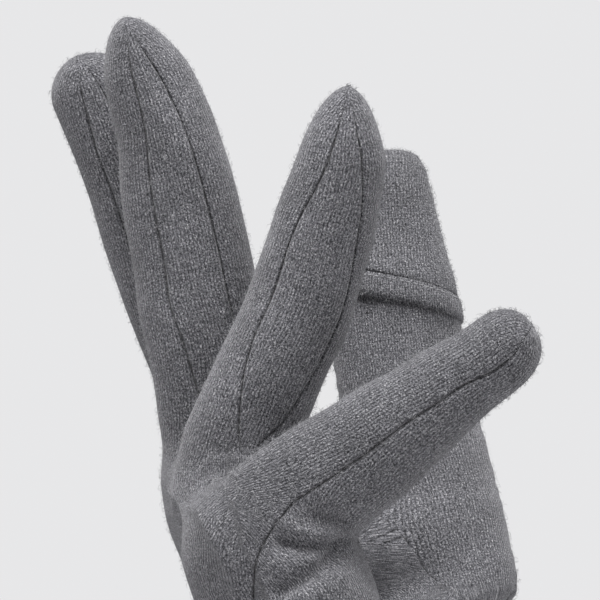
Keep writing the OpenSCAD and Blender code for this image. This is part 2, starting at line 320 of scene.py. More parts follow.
def room(n):
    """Lowest and highest x that finger n may fill at its root."""
    return between(n + 1)[0] if n < 3 else -NO_LIMIT, between(n)[0] if n else NO_LIMIT


def slope(field, p, h=0.25):
    """Unit gradient of a field."""
    steps = np.eye(3) * h
    return unit(np.stack([field(p + e) - field(p - e) for e in steps], 1) + 1e-12)


def settle(field, p, rounds=3):
    """Moves points onto the surface where a field is 0."""
    for _ in range(rounds):
        p = p - slope(field, p) * np.clip(field(p), -1, 1)[:, None]
    return p


COARSE = 4  # steps of the net's grid between the places that are tried first
BATCHES = 12  # parts in which the field is worked out, to save memory


def net(field, low, high, step):
    """Triangles of the surface where field is 0, one vertex to each cell of a grid."""
    axes = [np.arange(a, b + step, step) for a, b in zip(low, high)]
    shape = [len(a) for a in axes]
    points = np.stack(np.meshgrid(*axes, indexing="ij"), -1)
    coarse = points[::COARSE, ::COARSE, ::COARSE]
    rough = field(coarse.reshape(-1, 3)).reshape(coarse.shape[:3])
    near_by = [np.minimum((np.arange(n) + COARSE // 2) // COARSE, m - 1) for n, m in zip(shape, rough.shape)]
    value = rough[np.ix_(*near_by)]
    band = np.abs(value) < 2 * COARSE * step
    value[band] = np.concatenate([field(part) for part in np.array_split(points[band], BATCHES)])
    total = np.zeros([n - 1 for n in shape] + [3])
    count = np.zeros([n - 1 for n in shape])
    crossings = []
    for axis in range(3):
        a = np.take(value, range(shape[axis] - 1), axis)
        b = np.take(value, range(1, shape[axis]), axis)
        hit = np.argwhere((a < 0) != (b < 0))
        va, vb = a[tuple(hit.T)], b[tuple(hit.T)]
        place = hit.astype(float)
        place[:, axis] += va / (va - vb)
        crossings.append((hit, va < 0))
        others = [i for i in range(3) if i != axis]
        for da in (0, 1):
            for db in (0, 1):
                cell = hit.copy()
                cell[:, others[0]] -= da
                cell[:, others[1]] -= db
                ok = ((cell >= 0) & (cell < np.array(shape) - 1)).all(1)
                np.add.at(total, tuple(cell[ok].T), place[ok])
                np.add.at(count, tuple(cell[ok].T), 1)
    used = count > 0
    number = np.full(count.shape, -1)
    number[used] = np.arange(used.sum())
    verts = np.array(low) + total[used] / count[used][:, None] * step
    quads = []
    for axis, (hit, inside) in enumerate(crossings):
        o = [(axis + 1) % 3, (axis + 2) % 3]
        inner = (hit[:, o[0]] > 0) & (hit[:, o[1]] > 0)
        inner &= (hit[:, o[0]] < shape[o[0]] - 1) & (hit[:, o[1]] < shape[o[1]] - 1)
        hit, inside = hit[inner], inside[inner]
        ring = []
        for da, db in ((1, 1), (0, 1), (0, 0), (1, 0)):
            cell = hit.copy()
            cell[:, o[0]] -= da
            cell[:, o[1]] -= db
            ring.append(number[tuple(cell.T)])
        ring = np.stack(ring, 1)
        ring[~inside] = ring[~inside][:, ::-1]
        quads.append(ring)
    quads = np.concatenate(quads)
    return verts, np.concatenate([quads[:, [0, 1, 2]], quads[:, [0, 2, 3]]])


def score(verts, tris, value, snap=0.12):
    """Splits triangles along the line where value is 0. Returns vertices, triangles and values."""
    value = np.where(np.abs(value) < snap, 0.0, value)
    sign = np.sign(value).astype(int)
    edges = np.sort(np.concatenate([tris[:, [0, 1]], tris[:, [1, 2]], tris[:, [2, 0]]]), 1)
    edges = np.unique(edges[sign[edges[:, 0]] * sign[edges[:, 1]] < 0], axis=0)
    if not len(edges):
        return verts, tris, value
    t = value[edges[:, 0]] / (value[edges[:, 0]] - value[edges[:, 1]])
    added = mix(verts[edges[:, 0]], verts[edges[:, 1]], t[:, None])
    size = len(verts)
    keys = edges[:, 0] * size + edges[:, 1]

    def crossing(a, b):
        return size + np.searchsorted(keys, np.minimum(a, b) * size + np.maximum(a, b))

    kept = []
    todo = np.ones(len(tris), bool)
    for k in range(3):
        a, b, c = (tris[:, (k + i) % 3] for i in range(3))
        sa, sb, sc = sign[a], sign[b], sign[c]
        alone = todo & (sa * sb < 0) & (sa * sc < 0)
        a1, b1, c1 = a[alone], b[alone], c[alone]
        ab, ac = crossing(a1, b1), crossing(a1, c1)
        kept += [np.stack(x, 1) for x in ((a1, ab, ac), (ab, b1, c1), (ab, c1, ac))]
        through = todo & (sa == 0) & (sb * sc < 0)
        a2, b2, c2 = a[through], b[through], c[through]
        bc = crossing(b2, c2)
        kept += [np.stack(x, 1) for x in ((a2, b2, bc), (a2, bc, c2))]
        todo &= ~(alone | through)
    kept.append(tris[todo])
    return np.vstack([verts, added]), np.concatenate(kept), np.append(value, np.zeros(len(added)))


def part_of(verts, tris, keep):
    """The triangles that are kept, with only their own vertices."""
    tris = tris[keep]
    used, renumbered = np.unique(tris, return_inverse=True)
    return verts[used], renumbered.reshape(-1, 3)


def rolled(gap):
    """How deep the knit lies at a distance from a seam, where its edge is turned in."""
    turn = ROLL - np.sqrt(np.maximum(ROLL**2 - (ROLL - np.minimum(gap, ROLL)) ** 2, 0))
    return turn + VALLEY[0] * np.exp(-((gap / VALLEY[1]) ** 2))


def make(name, verts, faces, across, along, seam, material, thick=FABRIC, share=None):
    """A piece of knit with the coordinates that its stitches follow."""
    name += "_knit"
    mesh = bpy.data.meshes.new(name)
    mesh.from_pydata((verts * MM).tolist(), [], [list(map(int, f)) for f in faces])
    # seam is the distance from the nearest seam, which the knit's material darkens with painted shade
    for key, value in (("across", across), ("along", along), ("seam", seam)):
        mesh.attributes.new(key, "FLOAT", "POINT").data.foreach_set("value", value.astype(np.float32))
    mesh.materials.append(material)
    mesh.shade_smooth()
    piece = bpy.data.objects.new(name, mesh)
    bpy.context.scene.collection.objects.link(piece)
    if thick:
        solid = piece.modifiers.new("thickness", "SOLIDIFY")
        solid.thickness, solid.offset = thick * MM, -1
        if share is not None:
            group = piece.vertex_groups.new(name="thickness")
            for level in np.unique(share):
                group.add(np.flatnonzero(share == level).tolist(), float(level), "REPLACE")
            solid.vertex_group = group.name
            solid.thickness_vertex_group = 0.02
    return piece


# Where each finger's skin parts from the hand's: length at which it is cut, and lean of the cut
CUTS = {"index": (-7.0, -22), "middle": (-7.0, -13), "ring": (-5.0, 5), "little": (-2.0, 20)}
FREE = 26.0  # length from which a finger stands clear of the hand
# The plane where the thumb's sleeve begins, and the length over which the thumb bends
THUMB_CUT, THUMB_WAY = np.array([36.0, -8, 104]), unit(np.array([0.6, -0.62, 0.5]))
THUMB_X = 16  # the thumb's skin lies beyond this x


def cut_of(d):
    """Middle and upward normal of the plane where a finger's skin begins."""
    s, lean = CUTS[d.body]
    way = np.array([0.0, -math.sin(math.radians(lean)), math.cos(math.radians(lean))])
    return d.at(d.line, s), way


def thumb_gap(p):
    """Above 0 on the thumb, and on some of the index finger's skin, which lies beyond the same plane."""
    return np.minimum((p - THUMB_CUT) @ THUMB_WAY, p[:, 0] - THUMB_X)


# The side seams of the hand, as depth at each height: on the little finger's side, and on the index side
OUTER_SEAM = [(0, 2), (60, 6), (90, 22), (107, 27.4), (113, 27), (117.5, 26), (121, 24), (124, 22), (130, 19)]
INNER_SEAM = [(0, -12), (60, -7), (84, 0.5), (104, 9.4), (120, 20), (136, 32), (142, 34)]


def back_side(p):
    """Above 0 on the back of the hand, below 0 on the palm."""
    x, y, z = p.T
    return y - mix(smooth_curve(OUTER_SEAM, z, 4), smooth_curve(INNER_SEAM, z, 4), ease((x + 10) / 20))


def thumb_back(p):
    """Above 0 on the outer face of the thumb and its gusset."""
    x, y, z = p.T
    low = (x - table(THENAR_X, z)) * 0.94 - (y - table(THENAR_Y, z)) * 0.34 - 24 * (1 - ease((z - 56) / 16))
    return mix(low, thumb.local(p)[2], ease((z - 92) / 20))


def skin_gap(p):
    """Distance to the nearest seam of the hand or the thumb."""
    side, outer, inside = back_side(p), thumb_back(p), thumb_gap(p)
    side_gap = np.abs(side) + 6 * ease(inside / 5)
    outer_gap = np.abs(outer) + 6 * ease(side / 3) * (1 - ease(inside / 3))
    return np.minimum(side_gap, outer_gap + 6 * ease((GUSSET_LOW - p[:, 2]) / 3))


ARC_STEP = 5.0  # step in height and in degrees of the tables of arcs


def arcs():
    """Length round the hand from the middle of its back, and of its palm, at heights and angles."""
    heights, angles = np.arange(0, 131, ARC_STEP), np.radians(np.arange(-180, 181, ARC_STEP))
    reach = np.arange(8, 80, 1.0)
    z, a, r = np.meshgrid(heights, angles, reach, indexing="ij")
    points = np.stack([r * np.cos(a), r * np.sin(a) + table(MID_Y, z.ravel()).reshape(z.shape), z], -1)
    inside = hand_field(points.reshape(-1, 3)).reshape(z.shape) < 0
    radius = reach[0] + inside.sum(2)
    way = np.stack([radius * np.cos(angles), radius * np.sin(angles)], -1)
    steps = np.linalg.norm(np.diff(way, axis=1), axis=2)
    total = np.concatenate([np.zeros((len(heights), 1)), np.cumsum(steps, 1)], 1)
    quarter = len(angles) // 4
    return total - total[:, 3 * quarter:3 * quarter + 1], total - total[:, quarter:quarter + 1]


def lay(grid, p):
    """A value of a table of arcs at points."""
    row = np.clip(p[:, 2] / ARC_STEP, 0, grid.shape[0] - 1.001)
    angle = np.arctan2(p[:, 1] - table(MID_Y, p[:, 2]), p[:, 0])
    col = np.clip((np.degrees(angle) + 180) / ARC_STEP, 0, grid.shape[1] - 1.001)
    i, j = row.astype(int), col.astype(int)
    a = mix(grid[i, j], grid[i + 1, j], row - i)
    b = mix(grid[i, j + 1], grid[i + 1, j + 1], row - i)
    return mix(a, b, col - j)


SPACE = (-50, -46, -3), (84, 66, 181)  # corners of the box in which the hand's skin is found
RIM = 0.5  # height of the cut edge of the cuff, inside the fold of its hem
GUSSET_LOW = 58  # height of the gusset's lower point
WEB_HALF, WEB_RISE = 1.7, 1.5  # half width and height of the strip of web that stays on the hand


def hand_pieces(materials):
    """The hand's cut pieces and the thumb's sleeve, from one skin."""
    verts, tris = net(whole_field, *SPACE, GRID)
    verts = settle(whole_field, verts)
    for line in (thumb_gap, back_side, thumb_back, lambda p: p[:, 2] - RIM,
                 lambda p: thumb.local(p)[0] - SLEEVE_END, lambda p: thumb.local(p)[0] - CAP_S):
        verts, tris, _ = score(verts, tris, line(verts))
    for d in fingers:
        middle, way = cut_of(d)
        verts, tris, _ = score(verts, tris, (verts - middle) @ way)
    for level in (0.3, 0.8):
        verts, tris, _ = score(verts, tris, skin_gap(verts) - level, 0.06)
    verts = settle(whole_field, verts, 1)

    middle_of = verts[tris].mean(1)
    side, outer, inside = back_side(middle_of), thumb_back(middle_of), thumb_gap(middle_of)
    length = thumb.local(middle_of)[0]
    on_thumb = (inside > 0) & (length < np.where(outer > 0, CAP_S, SLEEVE_END))
    on_hand = (inside < 0) & (middle_of[:, 2] > RIM)
    for n, d in enumerate(fingers):
        place, way = cut_of(d)
        x = middle_of[:, 0]
        low, high = room(n)
        web = np.zeros(len(x), bool)
        for m in (n, n + 1):
            if 0 < m < 4:
                across, level = between(m)
                web |= (np.abs(x - across) < WEB_HALF) & (middle_of[:, 2] < level + WEB_RISE)
        on_hand &= ~((x > low) & (x <= high) & ((middle_of - place) @ way > 0) & ~web)
    kinds = {
        "hand_back": on_hand & (side > 0),
        "thumb_gusset": on_hand & (side < 0) & (outer > 0) & (middle_of[:, 2] > GUSSET_LOW),
        "thumb_sleeve_back": on_thumb & (outer > 0),
        "thumb_sleeve_front": on_thumb & (outer < 0),
    }
    kinds["hand_palm"] = on_hand & (side < 0) & ~kinds["thumb_gusset"]
    back_arc, palm_arc = arcs()
    pieces = []
    for name, keep in kinds.items():
        v, t = part_of(verts, tris, keep)
        gap = skin_gap(v)
        s, a, b = thumb.local(v)
        if "sleeve" in name:
            across = np.arctan2(a, b if "back" in name else -b) * 15
            along = s
        else:
            across = lay(back_arc if name == "hand_back" else palm_arc, v)
            along = v[:, 2]
        out = slope(whole_field, v)
        depth = rolled(gap) - folds(v) - swell(v, gap)
        moved = v - out * depth[:, None]
        piece = make(name, moved, t, across, along, gap, materials["knit"])
        piece["body"] = "thumb" if "sleeve" in name else "hand"
        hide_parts(name)
        pieces.append(piece)
    return pieces


# Creases on the little finger's side of the palm: depth, width, and places as (y, z)
CREASES = [
    (2.1, 1.5, [(20.5, 119.8), (15, 118.6), (9, 119)]),
    (1.7, 1.7, [(21, 109.5), (14, 113), (7, 119)]),
    (1.5, 2.4, [(13, 125), (8, 123.8)]),
    (-1.0, 2.4, [(21, 123.4), (15, 121.6), (10, 121)]),
    (-0.9, 3.0, [(22, 115), (15, 116)]),
    (-0.8, 2.6, [(17, 107), (8, 112)]),
]


def folds(p):
    """Height of the creases of the skin, above 0 outwards."""
    height = np.zeros(len(p))
    for depth, width, line in CREASES:
        away = np.full(len(p), 1e3)
        for (y0, z0), (y1, z1) in zip(line[:-1], line[1:]):
            start, step = np.array([y0, z0]), np.array([y1 - y0, z1 - z0])
            offset = p[:, 1:] - start
            t = np.clip(offset @ step / (step @ step), 0, 1)
            away = np.minimum(away, np.linalg.norm(offset - t[:, None] * step, axis=1))
        height -= depth * np.exp(-((away / width) ** 2))
    return height * ease((-18 - p[:, 0]) / 8)


def swell(p, gap):
    """The skin's small unevenness: broad waves everywhere, and puckers beside the seams."""
    x, y, z = p.T
    wave = np.sin(x * 0.31 + z * 0.13) + np.sin(y * 0.37 - z * 0.17 + 1.3)
    wave = wave + np.sin(z * 0.29 + x * 0.11 - y * 0.2)
    pucker = np.sin(z * 1.25 + 2 * np.sin(x * 0.23 + y * 0.31 + z * 0.19))
    return 0.09 * wave + 0.17 * (pucker * np.exp(-gap / 2.5) * ease(gap / 1.2))


TUCK = 1.4  # length of a finger's skin that lies under the edge of the hand's
EDGE = [0, 0.12, 0.3, 0.55, 0.85, 1.2, 1.7, 2.4, 3.3]  # places of the mesh's lines next to a seam


def lines_across(span, step=1.0):
    """Shares of a piece's width at which its mesh has lines, close together at both seams."""
    edge = np.array(EDGE) * min(1, span / 4 / EDGE[-1])
    inner = np.linspace(edge[-1], span - edge[-1], max(2, int((span - 2 * edge[-1]) / step) + 1))
    return np.concatenate([edge[:-1], inner, span - edge[:-1][::-1]]) / span


NEAREST, FURTHEST = 0.6, 3.0  # shares of a finger's half size between which its skin is looked for


def search(inside, low, high, rounds):
    """The edge of what is inside, between a distance that is inside and one that is outside."""
    for _ in range(rounds):
        half = (low + high) / 2
        within = inside(half)
        low, high = np.where(within, half, low), np.where(within, high, half)
    return low


def ray_skin(d, s, v):
    """Skin of a finger near its root, where it runs into the hand."""
    start, lean = CUTS[d.body]
    low_x, high_x = room(fingers.index(d))
    place, side, back = d.frame(s)
    along = unit(d.at(d.along, s))
    root_lean = math.degrees(math.atan2(-d.along[AT_PIVOT, 1], d.along[AT_PIVOT, 2]))
    tilt = np.radians(root_lean - lean) * (1 - ease((s - start) / (16 - start)))
    back = back * np.cos(tilt)[..., None] - along * np.sin(tilt)[..., None]
    middle = place + back * d.at(d.shift, s)[..., None]
    a = np.radians(v)
    ray = (side * (np.cos(a) * d.at(d.half_w, s))[..., None]
           + back * (np.sin(a) * d.at(d.half_d, s))[..., None])
    free = ease((s - CROTCH - 1) / 12).ravel()

    def value(r):
        p = (middle + ray * r[..., None]).reshape(-1, 3)
        shared = far(whole_field(p), np.maximum(p[:, 0] - high_x, low_x - p[:, 0]), 1)
        return mix(shared, near(thumb_side(p), d.field(p), 7), free).reshape(s.shape)

    low, high = np.full(s.shape, NEAREST), np.full(s.shape, FURTHEST)
    for r in np.arange(0.7, FURTHEST, 0.15):
        inside = (value(np.full(s.shape, r)) < 0) & (high == FURTHEST)
        high = np.where(~inside & (high == FURTHEST), r, high)
        low = np.where(inside, r, low)
    edge = search(lambda r: value(r) < 0, low, high, 8)
    return middle + ray * edge[..., None]


def meeting(d, guess):
    """Angle round a finger's root at which the hand's side seam reaches it."""
    v = np.linspace(guess - 30, guess + 30, 61)
    side = back_side(ray_skin(d, np.full((1, 61), CUTS[d.body][0]), v[None])[0])
    return np.interp(0, side if side[-1] > side[0] else -side, v)


def quads_of(rows, cols):
    """Faces of a grid of points."""
    order = np.arange(rows * cols).reshape(rows, cols)
    return np.stack([order[:-1, :-1], order[:-1, 1:], order[1:, 1:], order[1:, :-1]], -1).reshape(-1, 4)


def swept(name, d, s, points, material, fade=None, outward=0.0):
    """A piece from a grid of points. Its long edges are turned in by fade; without it, it has no seams."""
    rows, cols = s.shape
    steps = np.linalg.norm(np.diff(points, axis=1), axis=2)
    run = np.concatenate([np.zeros((rows, 1)), np.cumsum(steps, 1)], 1)
    down, cross = np.gradient(points, axis=0), np.gradient(points, axis=1)
    out = np.cross(cross, down)
    out = out / np.maximum(np.linalg.norm(out, axis=-1, keepdims=True), 1e-6)
    place = d.at(d.line, s)
    if dot(out[:rows // 2], (points - place)[:rows // 2]).sum() < 0:
        out = -out
    flat = points.reshape(-1, 3)
    # the seam distance goes to the knit's material, which paints shade near seams; a faded seam is given a
    # larger distance and so gets less painted shade
    if fade is None:
        depth, seam_shade_gap = np.zeros(s.shape), np.full(s.shape, UNSEWN)
    else:
        gap = np.minimum(UNSEWN, np.minimum(run, run[:, -1:] - run))
        depth = rolled(gap) * fade - outward - (folds(flat) + swell(flat, gap.ravel())).reshape(s.shape)
        seam_shade_gap = gap + 2.5 * (1 - fade)
    verts = (points - out * depth[..., None]).reshape(-1, 3)
    quads = quads_of(rows, cols)
    first = flat[quads[0]]
    face = np.cross(first[1] - first[0], first[3] - first[0])
    if face @ out.reshape(-1, 3)[quads[0][0]] < 0:
        quads = quads[:, ::-1]
    across = run - run[:, -1:] / 2
    # a narrow tip has room for less than the whole thickness
    inner = np.clip(0.5 * d.at(d.half_d, s) * d.rounding(s) / FABRIC, 0, 1).round(2)
    return make(name, verts, quads, across.ravel(), s.ravel(), seam_shade_gap.ravel(), material, share=inner.ravel())


def digit_lengths(d, start):
    """Lengths of the rings of a digit, closer together in the dome of its tip."""
    low = np.arange(start, d.length - d.dome, 1.0)
    turn = np.radians(np.linspace(0, 90, 26))
    return np.concatenate([low[:-1], d.length - d.dome + d.dome * np.sin(turn)])


# Half angle between the middle of a finger's side and its seams, by share of the finger's length
STRIP = [(0, 6), (0.1, 14), (0.3, 28), (0.75, 26), (0.9, 14), (1, 4)]
# Where the side away from the index finger differs: angle of its back seam and of its palm seam, by length
BACK_SEAM = {
    "middle": [(-7, 171), (5, 167), (10, 164), (20, 160), (30, 152), (60, 153), (84, 162), (96, 175)],
    "ring": [(-5, 192), (1, 189), (5, 176), (10, 166), (18, 154), (27, 146), (50, 145), (56, 149), (68, 163),
             (80, 170), (86.5, 176)],
    "little": [(0, 180), (34, 180), (42, 184), (50, 186), (57, 196), (63, 196), (69, 182)]}
PALM_SEAM = {
    "middle": [(-7, 184), (5, 194), (14, 212), (24, 215), (34, 210), (50, 208), (66, 204), (80, 198),
               (96, 184)],
    "ring": [(-5, 196), (2, 200), (10, 218), (25, 232), (45, 234), (60, 222), (75, 202), (86.5, 184)]}


def seam_angles(d, lengths):
    """Angles of a finger's four seams: back and palm on the index side, back and palm on the other."""
    strip = smooth_curve([(share * d.length, angle) for share, angle in STRIP], lengths, 3)
    near_back, near_palm = strip, 360 - strip
    far_back, far_palm = 180 - strip, 180 + strip
    if d.body in BACK_SEAM:
        far_back = smooth_curve(BACK_SEAM[d.body], lengths, 3)
    if d.body in PALM_SEAM:
        far_palm = smooth_curve(PALM_SEAM[d.body], lengths, 3)
    start = CUTS[d.body][0]
    if d is index:
        near_back = meeting(d, 0) * (1 - ease((lengths - start) / 9))
        near_palm = near_back + 360
    if d is little:
        far_back = far_back + (meeting(d, 185) - far_back[0]) * (1 - ease((lengths - start) / 8))
        far_palm = far_back
    return near_back, near_palm, far_back, far_palm


FOURCHETTES = {
    "index": (None, "index_fourchette"),
    "middle": ("middle_index_fourchette", "middle_ring_fourchette"),
    "ring": ("ring_middle_fourchette", "ring_little_fourchette"),
    "little": ("little_fourchette", None)}
TIP_FADE = {"index": 0.9, "middle": 0.95, "ring": 0.6, "little": 0.5}  # how much of a seam is gone at the tip
FINGER_R = 11  # about the radius of a finger


def finger_pieces(materials):
    """The backs, fronts and side strips of the fingers."""
    made = []
    for d in fingers:
        start = CUTS[d.body][0]
        lengths = digit_lengths(d, start - TUCK)
        near_back, near_palm, far_back, far_palm = seam_angles(d, lengths)
        cut = [(d.body + "_back", near_back, far_back), (d.body + "_front", far_palm, near_palm)]
        near_strip, far_strip = FOURCHETTES[d.body]
        if near_strip:
            cut.append((near_strip, near_palm - 360, near_back))
        if far_strip:
            cut.append((far_strip, far_back, far_palm))
        for name, low, high in cut:
            shares = lines_across(abs(high - low).max() / 180 * math.pi * FINGER_R)
            v = low[:, None] + (high - low)[:, None] * shares[None]
            s = np.repeat(lengths[:, None], len(shares), 1)
            points = d.skin(s, v)
            rooted = lengths < FREE
            points[rooted] = ray_skin(d, s[rooted], v[rooted])
            # only the seams that run on down the hand are sunk at the root, and all of them fade at the tip
            through = np.where(np.abs((v - 180) % 360) < 90, d is little, d is index)
            fade = np.maximum(ease((s - start - 2) / 8), through)
            fade = fade * (1 - TIP_FADE[d.body] * ease((s - d.length + 10) / 8))
            width = np.abs(high - low)[:, None] / 180 * math.pi * d.at(d.half_w, s)
            fade = fade * np.clip(width / 5, 0.15, 1)
            tuck = -0.4 * (1 - ease((s - start + TUCK) / TUCK))
            piece = swept(name, d, s, points, materials["knit"], fade, outward=tuck)
            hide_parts(name)
            piece["body"] = d.body
            made.append(piece)
    return made


HEM = 6.0  # depth of the cap's hem
STAND = 1.3  # how far the cap's free edge stands off the thumb
CAP_ROUND = 52  # length round one face of the cap
# Sections of the cap's doubled hem and of the sleeve's turned edge: places up the thumb, and out
HEM_FOLD = [(HEM + 0.5, -0.2), (HEM, 0.05), (HEM - 0.5, 0.25), (HEM * 0.75, 0.42), (HEM * 0.45, 0.5),
            (1.3, 0.45), (0.5, 0.2), (0.1, -0.2), (0.0, -0.6), (0.2, -1.1), (0.9, -1.4), (HEM * 0.5, -1.5),
            (HEM, -1.5)]
SLEEVE_FOLD = [(65.4, 0.05), (66.1, -0.05), (66.5, -0.5), (66.2, -1.1), (65, -1.6), (57, -1.7)]


def cap_low(v):
    """Length at which the cap's lower edge lies on the pad side: it slants down towards the palm."""
    turn = np.radians(v - 180)
    return 58.0 + 4.9 * np.cos(turn) + 1.7 * np.sin(turn)


def cap_lift(s, v):
    """How far the pad side of the cap stands off the thumb."""
    return STAND * np.sqrt(np.maximum(np.sin(np.radians(v - 180)), 0)) * (1 - ease((s - 63) / 12))


def band(name, around, fold, material, low=lambda v: 0 * v, lift=lambda s, v: 0):
    """A folded edge round the pad side of the thumb, from its section."""
    s = np.array([low(around) + up for up, out in fold])
    v = np.repeat(around[None], len(fold), 0)
    points = thumb.skin(s, v, out=lift(s, v) + np.array([out for up, out in fold])[:, None])
    return swept(name, thumb, s, points, material)


def cap_pieces(materials):
    """The flip cap with its hem and stitches, and the edge of the sleeve that it covers."""
    knit, rib = materials["knit"], materials["knit_rib"]
    lengths = digit_lengths(thumb, CAP_S)
    shares = lines_across(CAP_ROUND)
    s = np.repeat(lengths[:, None], len(shares), 1)
    v = np.repeat(180 * shares[None], len(lengths), 0)
    soft = 1 - 0.7 * ease((s - thumb.length + 9) / 7)
    back = swept("cap_back", thumb, s, thumb.skin(s, v), knit, soft)
    v = 180 + v
    low = cap_low(v[:1]) + HEM
    t = (lengths - lengths[0]) / (lengths[-1] - lengths[0])
    s = low + (thumb.length - low) * t[:, None]
    front = swept("cap_front", thumb, s, thumb.skin(s, v), knit, soft, outward=cap_lift(s, v))
    # the doubled hem goes down the outside, round its lower edge and up inside
    hem = band("cap_hem", np.linspace(180, 360, 90), HEM_FOLD, rib, cap_low, cap_lift)
    edge = band("thumb_sleeve_edge", np.linspace(184, 356, 70), SLEEVE_FOLD, rib)
    around = np.linspace(186, 354, 33)
    level = cap_low(around) + HEM - 1.0
    path = thumb.skin(level, around, out=cap_lift(level, around) + 0.3)
    made = [back, front, hem, stitches("cap_stitch", path, materials["thread"]), edge]
    for piece in made:
        piece["body"] = "thumb" if piece is edge else "thumb_cap"
        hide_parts(piece.name.removesuffix("_knit"))
    return made


THREAD_R = 0.22  # radius of the sewing thread
STITCH_SIDES = 8
SPINDLE = [(-1, 0.25), (-0.8, 0.8), (-0.3, 1), (0.3, 1), (0.8, 0.8), (1, 0.25)]  # place and size of its rings


def stitches(name, path, material):
    """A row of short stitches lying along a path, each a closed spindle."""
    verts, faces = [], []
    for a, b in zip(path[:-1], path[1:]):
        way = b - a
        half = np.linalg.norm(way) * 0.36
        way = unit(way)
        over = unit(np.cross(way, np.array([0.3, 0.2, 0.9])))
        up = np.cross(way, over)
        first = len(verts)
        for place, size in SPINDLE:
            for k in range(STITCH_SIDES):
                turn = 2 * math.pi * k / STITCH_SIDES
                offset = (over * math.cos(turn) + up * math.sin(turn)) * THREAD_R * size
                verts.append((a + b) / 2 + way * half * place + offset)
        for r in range(len(SPINDLE) - 1):
            for k in range(STITCH_SIDES):
                one, two = (first + r * STITCH_SIDES + n % STITCH_SIDES for n in (k, k + 1))
                faces.append((one, two, two + STITCH_SIDES, one + STITCH_SIDES))
        faces.append(tuple(first + k for k in range(STITCH_SIDES - 1, -1, -1)))
        faces.append(tuple(first + (len(SPINDLE) - 1) * STITCH_SIDES + k for k in range(STITCH_SIDES)))
    zero = np.zeros(len(verts))
    return make(name, np.array(verts), faces, zero, zero, zero + UNSEWN, material, thick=0)


CUFF_DEEP = 22.0  # depth of the cuff's hem
CUFF_THICK = 1.3  # thickness of its inner layer
CUFF_R = 34  # about the radius of the cuff
# Section of the fold at the opening: height, and depth below the skin
CUFF_FOLD = [(0.9, -0.02), (0.45, 0.15), (0.12, 0.7), (0.02, 1.4), (0.1, 2.2), (0.5, 2.9), (1.5, 3.1)]


def cuff_ring(z, angles):
    """Points of the hand's skin round its middle at heights, with the outward way."""
    middle = np.stack([0 * z, table(MID_Y, z), z], -1)
    way = np.stack([np.cos(angles), np.sin(angles), 0 * angles], -1)
    reach = search(lambda r: hand_field((middle + way * r[..., None]).reshape(-1, 3)).reshape(z.shape) < 0,
                   np.full(z.shape, 8.0), np.full(z.shape, 70.0), 16)
    points = middle + way * reach[..., None]
    out = slope(hand_field, points.reshape(-1, 3)).reshape(points.shape)
    out[..., 2] = 0
    return points, unit(out)


def cuff_pieces(materials):
    """The hems turned up inside the cuff, and the row of stitches that holds them."""
    fold = CUFF_FOLD + [(z, CUFF_FOLD[-1][1]) for z in np.linspace(3, CUFF_DEEP, 12)]
    height = np.array([f[0] for f in fold])[:, None]
    depth = np.array([f[1] for f in fold])[:, None, None]
    # where the side seams stand round the middle
    ends = []
    for guess in (0.0, math.pi):
        angles = np.linspace(guess - 0.9, guess + 0.9, 181)
        points, _ = cuff_ring(np.zeros(181), angles)
        side = back_side(points)
        ends.append(np.interp(0, side if side[-1] > side[0] else -side, angles))
    made = []
    ends.append(ends[0] + 2 * math.pi)
    for name, a, b in (("cuff_hem_back", *ends[:2]), ("cuff_hem_palm", *ends[1:])):
        angles = np.linspace(a + 0.008, b - 0.008, 90)
        z, turn = np.broadcast_arrays(height, angles[None])
        points, out = cuff_ring(z, turn)
        points = points - out * depth
        quads = quads_of(*z.shape)[:, [0, 3, 2, 1]]
        along = np.repeat(np.cumsum(np.abs(np.diff(height[:, 0], prepend=0)))[:, None], len(angles), 1)
        across = (turn - (a + b) / 2) * CUFF_R
        made.append(make(name, points.reshape(-1, 3), quads, across.ravel(), along.ravel(),
                         np.full(z.size, UNSEWN), materials["knit_rib"], thick=CUFF_THICK))
    turn = np.linspace(0, 2 * math.pi, 85)
    path, out = cuff_ring(np.full(85, CUFF_DEEP - 2), turn)
    made.append(stitches("cuff_stitch", path + out * 0.1, materials["thread"]))
    for piece in made:
        piece["body"] = "hand"
        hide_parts(piece.name.removesuffix("_knit"))
    return made


HAIRS = 5200  # hairs on each moving part
HAND_SHARE = 1.6  # times as many on the hand
HAIR = 0.04  # radius of a hair at its root
HAIR_LENGTH, HAIR_RISE = (0.8, 2.6), (0.15, 0.75)
HAIR_FACES = [(2, 1, 0), (0, 1, 4), (0, 4, 3), (1, 2, 5), (1, 5, 4), (2, 0, 3), (2, 3, 5), (3, 4, 6),
              (4, 5, 6), (5, 3, 6)]


